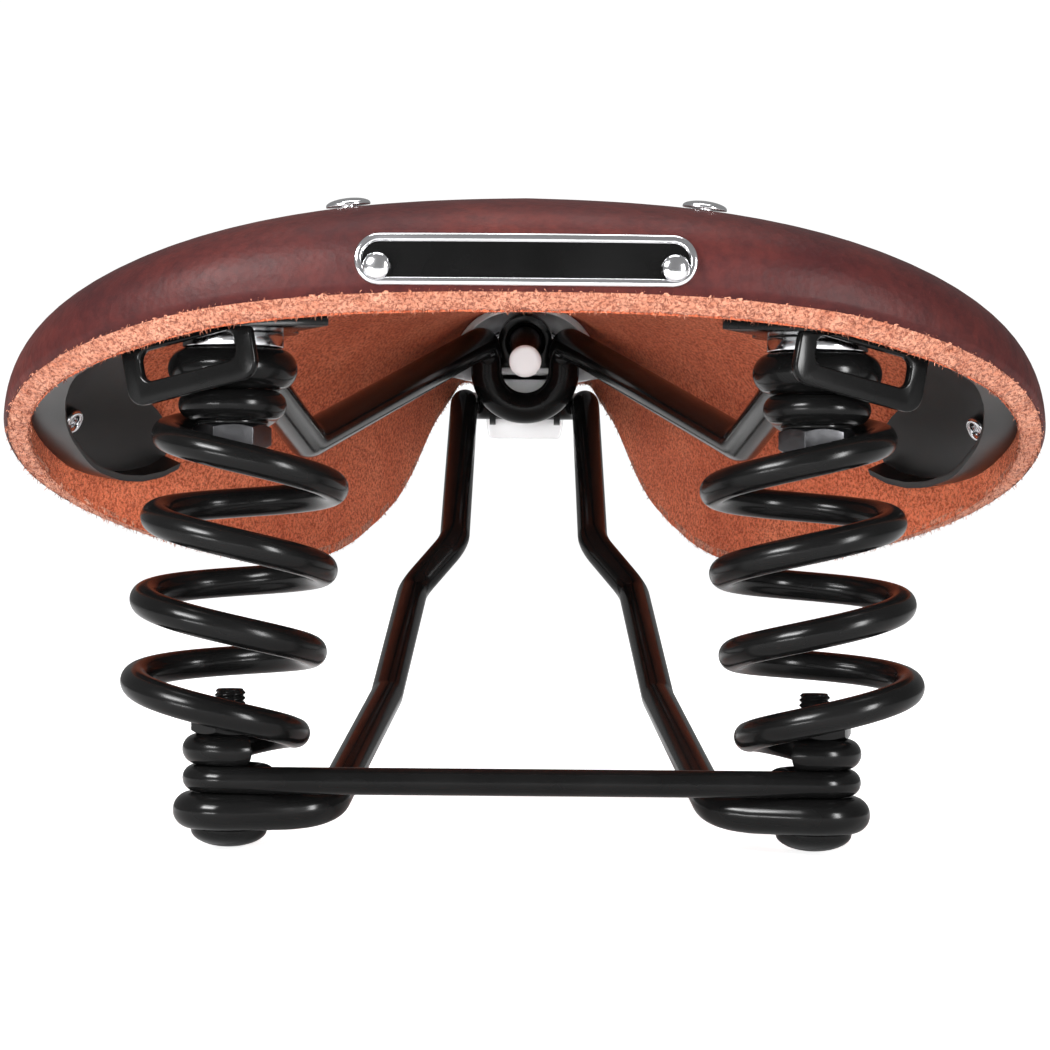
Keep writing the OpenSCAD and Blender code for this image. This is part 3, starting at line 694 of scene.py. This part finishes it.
def v_at(u, z, deep):
    top = ridge_h(spine_y(u)) - deep
    g = (top - z) / (top - edge_at(u)[..., 2])
    return np.arccos(np.clip(1 - g, 0, 1) ** (squareness(u) / 2)) * 2 / math.pi


us = np.linspace(16.8, LAST, 48)
plate("nose_cup", "nose_piece", [[u, 0.0, float(v_at(u, 64, 5.3)), None] for u in us], 16, 5.3, 6.8, SATIN, width=0.4)


# ---------- badge ----------
def badge_point(x, z, deep):
    """Where half-width x and height z on the back face lie, by bisection along the edge."""
    lo, hi = np.zeros_like(x), np.full_like(x, 3.0)
    for _ in range(30):
        u = (lo + hi) / 2
        less = skin(u, v_at(u, z, 0.0))[..., 0] < np.abs(x)
        lo, hi = np.where(less, u, lo), np.where(less, hi, u)
    u = np.where(np.abs(x) < 1e-9, 0, u)
    p = skin(u, v_at(u, z, 0.0), deep)
    p[..., 0] = np.where(x < 0, -p[..., 0], p[..., 0])
    return p


def badge():
    w, h, z0 = 62.0, 9.0, 73.2
    n_arc, n_run = 24, 40

    def ring(inset, deep):
        r = h / 2 - inset
        c = w / 2 - h / 2
        a = np.linspace(-math.pi / 2, math.pi / 2, n_arc)
        xs = np.linspace(c, -c, n_run + 2)[1:-1]
        x = np.concatenate([c + r * np.cos(a), xs, -c - r * np.cos(a), -xs])
        z = np.concatenate([r * np.sin(a), np.full(n_run, r), -r * np.sin(a), np.full(n_run, -r)])
        return badge_point(x, z0 + z, np.full_like(x, -deep))

    rings = [(0.05, 0.15), (0.0, 0.3), (0.0, 1.0), (0.08, 1.32), (0.3, 1.48), (0.7, 1.5), (1.1, 1.46), (1.28, 1.36),
             (1.34, 1.15), (1.4, 1.02), (1.6, 1.0), (2.2, 1.02), (3.0, 1.05), (4.0, 1.06), (4.42, 1.06)]
    pts = [ring(*r) for r in rings]
    k = len(pts[0])
    faces, slots = [], []
    for i in range(len(rings) - 1):
        f = grid(2, k, i * k, wrap=True)
        faces += f
        slots += [1 if rings[i][0] >= 1.4 else 0] * len(f)
    faces.append(tuple((len(rings) - 1) * k + i for i in range(k)))
    slots.append(1)
    ob = mesh_piece("badge", np.vstack(pts), faces, [CHROME, FIELD], slots, BODY["badge_plate"], ("badge_plate",))
    bm = bmesh.new()
    bm.from_mesh(ob.data)
    bmesh.ops.triangulate(bm, faces=[f for f in bm.faces if len(f.verts) > 4])
    bmesh.ops.recalc_face_normals(bm, faces=bm.faces)
    bm.to_mesh(ob.data)
    bm.free()
    shade(ob.data, 60)


badge()


# ---------- rivets ----------
def dome(head, rise, seat, n=14):
    """A domed head with a small flat rim, from its centre to its seat."""
    r = head / 2
    arc = [[r * math.sin(a), seat + rise * (0.22 + 0.78 * math.cos(a))] for a in np.linspace(0, math.pi / 2, n)]
    return arc + [[r + 0.02, seat + rise * 0.1], [r - 0.05, seat + 0.02]]


def rivet(name, nodes, places, head, rise, seat, grip=7.8):
    parts = []
    for m in places:
        profile = dome(head, rise, seat) + [[1.7, seat], [1.7, -grip]]
        profile += [[r, -grip - z] for r, z in ((2.2, 0), (2.75, 0.25), (2.85, 0.7), (2.6, 1.15), (2.1, 1.35), (1.6, 1.2),
                                                (1.25, 0.8), (1.15, 0.3), (0, 0.3))]
        p, f = revolve(profile)
        h = np.c_[p * MM, np.ones(len(p))] @ np.array(m).T
        parts.append((h[:, :3] / MM, f))
    p, f = join(parts)
    ob = mesh_piece(name, p, f, [CHROME], None, BODY[nodes[0]], nodes, 55)
    weld(ob)
    shade(ob.data, 55)
    return ob


TOP, BADGE_R, SIDE, NOSE, TIP_V = (3.12, 0.293), (1.24, 0.935), (8.0, 0.84), ((17.9, 0.60), (19.2, 0.58)), 0.66
for s, tag in ((-1, "left"), (1, "right")):
    rivet(f"rivet_top_{tag}", [f"top_rivet_{tag}"], [on_hide(*TOP, s)], 8.4, 1.55, 0.2)
    rivet(f"rivet_side_{tag}", [f"side_rivet_{tag}"], [on_hide(*SIDE, s)], 8.4, 1.9, 0.2)
    rivet(f"rivet_badge_{tag}", [f"badge_rivet_{tag}"], [on_hide(*BADGE_R, s)], 5.0, 1.6, 1.35, 9.8)
    rivet(f"rivet_nose_{tag}", [f"nose_rivets_{tag}"], [on_hide(*r, s) for r in NOSE], 7.0, 1.7, 0.2, 8.3)
rivet("rivet_nose_tip", ["nose_rivet_tip"], [on_hide(LAST, TIP_V)], 7.0, 1.7, 0.2, 10.3)


# ---------- wires ----------
def bolt_centre(node):
    lo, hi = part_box(node)
    return (lo + hi) / 2 / MM


bolt = bolt_centre("lower_bolt_right")
BX, BY = bolt.x, bolt.y
RAIL_D, UPPER_D, BAR_D, SPRING_D = 7.0, 8.0, 5.2, 5.8
UPPER_Z, RAIL_Z = 55.0, -29.3
BAR_Z = RAIL_Z + RAIL_D / 2 + BAR_D / 2
FOOT_Z = BAR_Z + BAR_D / 2 + SPRING_D / 2
HEAD_Z = UPPER_Z - UPPER_D / 2 - SPRING_D / 2
PIN_Y, PIN_Z = 114.0, 57.0


def arc(z, r, a, b, step=4):
    t = np.radians(np.linspace(a, b, max(2, int(abs(b - a) / step))))
    return np.stack([BX + r * np.cos(t), BY + r * np.sin(t), np.full(len(t), z)], 1)


def tube_piece(name, node, paths, d, mat, sides=32):
    p, f = join([sweep(path, d, sides) for path in paths])
    return mesh_piece(name, p, f, [mat], None, BODY[node], (node,))


t150 = math.radians(150)
half = np.vstack([arc(UPPER_Z, 8.4, 435, 165),
                  wire([[BX + 8.4 * math.cos(t150), BY + 8.4 * math.sin(t150), UPPER_Z], [51.5, -84, 53.8],
                        [46.3, -35, 43.1], [9.9, 90, 73], [9.9, 94, 55.7], [0, 94, 55.7]], [0, 11, 14, 6, 9.8])])
tube_piece("upper_wire", "upper_frame", [np.vstack([half[:-1], mirrored(half[::-1])])], UPPER_D, ENAMEL, 36)

t250 = math.radians(250)
rail = [[BX + 7.3 * math.cos(t250), BY + 7.3 * math.sin(t250), RAIL_Z], [44, -98.4, RAIL_Z], [37, -95.8, RAIL_Z + 0.6],
        [29.1, -30, -11.3], [25.7, 25, 10.4], [16.3, 31, 21.5], [15.6, 93.3, PIN_Z], [14.8, PIN_Y, PIN_Z], [0, PIN_Y, PIN_Z]]
half = np.vstack([arc(RAIL_Z, 7.3, 505, 265), wire(rail, [0, 20, 9, 14, 8, 8, 12, 4.8])])
tube_piece("rail_wire", "rails", [np.vstack([half[:-1], mirrored(half[::-1])])], RAIL_D, ENAMEL, 36)

y_bar = BY - 6.4
half = np.vstack([arc(BAR_Z, 6.4, 538, 272), [[BX - 1.5, y_bar, BAR_Z], [0, y_bar, BAR_Z]]])
tube_piece("foot_bar", "spring_bar", [np.vstack([half[:-1], mirrored(half[::-1])])], BAR_D, ENAMEL, 32)

# springs
FIRST, PITCH, COIL_R, LEAN = 41.5, 15.7, 16.6, 0.072


def spring_at(t):
    t = np.asarray(t, float)
    cz = lambda z: 52.5 + 5.8 * (37.6 - z) / 47
    ct, st = np.cos(np.radians(t)), np.sin(np.radians(-t))
    # head
    k = ease(0, 165, -t)
    c1 = cz(FIRST) * (1 - k) + BX * k
    r1 = COIL_R * (1 - k) + 7.45 * k
    rest = FIRST - PITCH * t / 360 * (1 - k)
    z1 = rest * (1 - k) + HEAD_Z * k + LEAN * r1 * ct * (1 - k)
    # coils
    z2 = FIRST - PITCH * t / 360 + LEAN * COIL_R * ct
    r2 = COIL_R - 1.3 * ease(1020, 1260, t)
    c2 = cz(z2)
    # foot
    k3, e3 = ease(0, 95, t - 1260), ease(0, 125, t - 1260)
    start = FIRST - PITCH * 1260 / 360
    c3 = cz(start) * (1 - e3) + BX * e3
    r3 = (COIL_R - 1.3) * (1 - e3) + 6.15 * e3
    z3 = (start + LEAN * COIL_R * ct) * (1 - k3) + FOOT_Z * k3
    c = np.where(t < 0, c1, np.where(t < 1260, c2, c3))
    r = np.where(t < 0, r1, np.where(t < 1260, r2, r3))
    z = np.where(t < 0, z1, np.where(t < 1260, z2, z3))
    return np.stack([c + r * ct, BY + r * st, z], -1)


coil = spring_at(np.linspace(-400, 1565, 560))
for tag, path in (("left", mirrored(coil)), ("right", coil)):
    p, f = sweep(path, SPRING_D, 30)
    ob = mesh_piece(f"coil_{tag}", p, f, [SPRING])
    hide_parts(f"spring_{tag}")
    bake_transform(ob)

# ---------- hardware ----------
def slab(outline, t, round_by=0.4):
    """A flat plate of thickness t over a 2-D outline, its edges rounded, from z 0 to t."""
    o = np.asarray(outline, float)
    n = len(o)
    back, on = np.roll(o, 1, 0) - o, np.roll(o, -1, 0) - o
    back /= np.linalg.norm(back, axis=1, keepdims=True)
    on /= np.linalg.norm(on, axis=1, keepdims=True)
    normal = np.stack([on[:, 1], -on[:, 0]], 1) + np.stack([-back[:, 1], back[:, 0]], 1)
    normal /= np.linalg.norm(normal, axis=1, keepdims=True)
    area = np.sum(o[:, 0] * np.roll(o[:, 1], -1) - np.roll(o[:, 0], -1) * o[:, 1])
    if area < 0:
        normal = -normal
    r, rows = round_by, []
    for inset, z in ((r, 0), (r * 0.3, r * 0.3), (0, r), (0, t - r), (r * 0.3, t - r * 0.3), (r, t)):
        rows.append(np.c_[o - normal * inset, np.full(n, z)])
    points = np.vstack(rows)
    faces = grid(len(rows), n, wrap=True) + [tuple(range(n)), tuple((len(rows) - 1) * n + i for i in range(n))]
    return points, faces


def rounded(corners, r, steps=5):
    """A 2-D outline with its corners rounded by r."""
    c = np.asarray(corners, float)
    out = []
    for i in range(len(c)):
        a, b, d = c[i - 1], c[i], c[(i + 1) % len(c)]
        p, q = (a - b) / np.linalg.norm(a - b), (d - b) / np.linalg.norm(d - b)
        cut = min(r, 0.45 * np.linalg.norm(a - b), 0.45 * np.linalg.norm(d - b))
        for k in np.linspace(0, 1, steps):
            out.append((1 - k) ** 2 * (b + p * cut) + 2 * k * (1 - k) * b + k ** 2 * (b + q * cut))
    return np.array(out)


def tidy_normals(ob, sharp=50):
    bm = bmesh.new()
    bm.from_mesh(ob.data)
    bmesh.ops.triangulate(bm, faces=[f for f in bm.faces if len(f.verts) > 4])
    bmesh.ops.recalc_face_normals(bm, faces=bm.faces)
    bm.to_mesh(ob.data)
    bm.free()
    shade(ob.data, sharp)


for tag in ("left", "right"):
    refined(f"spring_seat_{tag}", ENAMEL, 0.4)
    refined(f"bag_loop_{tag}", ENAMEL, 0.55)
    refined(f"upper_bolt_{tag}", BLACKED, 0.3)
    refined(f"upper_spacer_{tag}", CHROME, 0.35)
    refined(f"upper_washer_{tag}", ENAMEL, 0.2)
    refined(f"upper_nut_{tag}", BLACKED, 0.25)
    refined(f"lower_nut_{tag}", ENAMEL, 0.25)
refined("shackle", ENAMEL, 0.35)
refined("tension_nut", STEEL, 0.25)

for s, tag in ((-1, "left"), (1, "right")):
    seat = RAIL_Z - RAIL_D / 2
    head = [[0, seat - 3.6]] + [[7.3 * math.sin(a), seat - 0.35 - 3.25 * math.cos(a)] for a in np.radians(np.linspace(5, 90, 16))]
    head += [[7.3, seat - 0.1], [7.15, seat], [3, seat], [3, -16], [0, -16]]
    p1, f1 = revolve(head[::-1])
    p1, f1 = p1, [f[::-1] for f in f1]
    p2, f2 = threaded(6.0, -16.5, -6.2, 1.0)
    points, faces = join([(p1, f1), (p2, f2)])
    points = points + [s * BX, BY, 0]
    ob = mesh_piece(f"foot_bolt_{tag}", points, faces, [ENAMEL], None, BODY[f"lower_bolt_{tag}"], (f"lower_bolt_{tag}",), 50)
    weld(ob)
    shade(ob.data, 50)

tilt = math.radians(10.5)
along = np.array([0, math.cos(tilt), math.sin(tilt)])
origin = np.array([0, 100, 72.9])
across = np.array([1.0, 0, 0])
third = np.cross(along, across)


def on_tension(points):
    p = np.asarray(points)
    return origin + p[:, :1] * across + p[:, 1:2] * third + p[:, 2:3] * along


shaft, shaft_f = threaded(8.0, -14.2, 37.6, 1.25, 48, 0.42, 0.1)
shaft = shaft * [1, -1, -1]
head, head_f = revolve([[0, 14], [4.2, 14], [4.5, 14.3], [4.5, 16.7], [4.2, 17], [0, 17]])
end, end_f = revolve([[0, -37.4], [3.85, -37.4], [4.0, -37.6], [3.95, -37.85], [3.75, -38], [2.6, -38], [1.2, -38], [0, -38]])
points, faces = join([(on_tension(shaft), shaft_f), (on_tension(head), head_f), (on_tension(end), end_f)])
mats = [0] * (len(shaft_f) + len(head_f)) + [1] * len(end_f)
ob = mesh_piece("tension_screw", points, faces, [BLACKED, SATIN], mats, BODY["tension_bolt"], ("tension_bolt",), 50)
weld(ob)
shade(ob.data, 50)

# the nose piece's floor, the tongue in front of the rails and the bolt's seat
tongue = rounded([[-10.2, 66], [-10.2, 52.5], [-9.4, 48.6], [9.4, 48.6], [10.2, 52.5], [10.2, 66]], 1.2)
p1, f1 = slab(tongue, 2)
p1 = np.stack([p1[:, 0], 121.2 - p1[:, 2], p1[:, 1]], 1)
us = np.linspace(19.4, LAST, 24)
rim = edge_at(us)[:, :2] - 6.7 * edge_out(us)
outline = np.vstack([[[9.6, 119.2]], rim, (rim * [-1, 1])[::-1][1:], [[-9.6, 119.2]]])
p2, f2 = slab(outline, 2, 0.3)
p2 = p2 + [0, 0, 64]
p3, f3 = revolve([[0, 17], [4.2, 17], [4.4, 17.2], [4.4, 20.4], [0, 20.4]])
p4, f4 = slab(rounded([[-8.5, 65.5], [-7, 71.5], [-3.8, 80], [3.8, 80], [7, 71.5], [8.5, 65.5]], 0.8), 2, 0.3)
p4 = np.stack([p4[:, 0], 121.2 - p4[:, 2], p4[:, 1]], 1)
points, faces = join([(p1, f1), (p2, f2), (on_tension(p3), f3), (p4, f4)])
ob = mesh_piece("nose_floor", points, faces, [SATIN], None, BODY["nose_bracket"], ("nose_bracket",))
tidy_normals(ob)


# ---------- floor, lights and camera ----------
lo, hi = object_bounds()
floor_me = bpy.data.meshes.new("floor")
bm = bmesh.new()
bmesh.ops.create_grid(bm, x_segments=2, y_segments=2, size=14)
bm.to_mesh(floor_me)
bm.free()
floor = bpy.data.objects.new("floor", floor_me)
floor.location = (0, 0, lo.z - 0.0005)
bpy.context.scene.collection.objects.link(floor)
fm = Mat("floor")
fm.colour(fm.ramp(fm.noise(3, 2, 0.5), (0.3, 0.93), (0.7, 0.95)))
fm.set(Roughness=0.9, Specular_IOR_Level=0.1, Emission_Color=(1, 1, 1, 1))
seen = fm.n.new("ShaderNodeLightPath")
glow = fm.n.new("ShaderNodeMapRange")
glow.inputs["To Min"].default_value = 0.05
glow.inputs["To Max"].default_value = 0.82
fm.link(seen.outputs["Is Camera Ray"], glow.inputs["Value"])
fm.link(glow.outputs["Result"], fm.b.inputs["Emission Strength"])
floor_me.materials.append(fm.m)

world = bpy.data.worlds.new("studio")
bpy.context.scene.world = world
world.use_nodes = True
wt = world.node_tree
bg = wt.nodes["Background"]
bg.inputs["Color"].default_value = (1, 1, 1, 1)
path = wt.nodes.new("ShaderNodeLightPath")
strength = wt.nodes.new("ShaderNodeMapRange")
strength.inputs["To Min"].default_value = 0.28
strength.inputs["To Max"].default_value = 1.05
wt.links.new(path.outputs["Is Camera Ray"], strength.inputs["Value"])
wt.links.new(strength.outputs["Result"], bg.inputs["Strength"])


def softbox(name, where, target, size, power, colour=(1, 1, 1)):
    data = bpy.data.lights.new(name, "AREA")
    data.shape = "RECTANGLE"
    data.size, data.size_y = size
    data.energy = power
    data.color = colour
    ob = bpy.data.objects.new(name, data)
    ob.location = where
    ob.rotation_euler = (Vector(target) - Vector(where)).to_track_quat("-Z", "Y").to_euler()
    bpy.context.scene.collection.objects.link(ob)
    return ob


softbox("key", (-0.75, -0.85, 0.75), (0, 0, 0.03), (0.6, 0.4), 15)
softbox("fill", (0.85, -0.95, 0.25), (0, 0, 0.03), (0.35, 0.6), 6)
softbox("top", (0, 0.0, 1.2), (0, 0, 0.03), (0.8, 0.5), 7)
softbox("inside", (0, -1.1, 0.03), (0, 0.03, 0.06), (0.5, 0.3), 13).visible_glossy = False
softbox("shine_left", (-0.75, -0.85, 0.6), (0, 0, 0.03), (0.5, 0.25), 16).visible_diffuse = False
softbox("shine_right", (0.85, -0.9, 0.3), (0, 0, 0.03), (0.2, 0.5), 12).visible_diffuse = False
softbox("low_left", (-0.7, -1.0, -0.02), (0, 0, 0.05), (0.5, 0.05), 5)

cam_data = bpy.data.cameras.new("camera")
cam_data.lens = 98.4
cam_data.sensor_width = 36
cam_data.shift_x = 1.2 / 1050
cam_data.clip_start, cam_data.clip_end = 0.01, 50
cam = bpy.data.objects.new("camera", cam_data)
cam.location = (0, -0.645, 0.0256)
turn = Matrix.Rotation(math.pi / 2, 4, "X") @ Matrix.Rotation(math.radians(0.49), 4, "Z")
cam.rotation_euler = turn.to_euler()
bpy.context.scene.collection.objects.link(cam)
bpy.context.scene.camera = cam
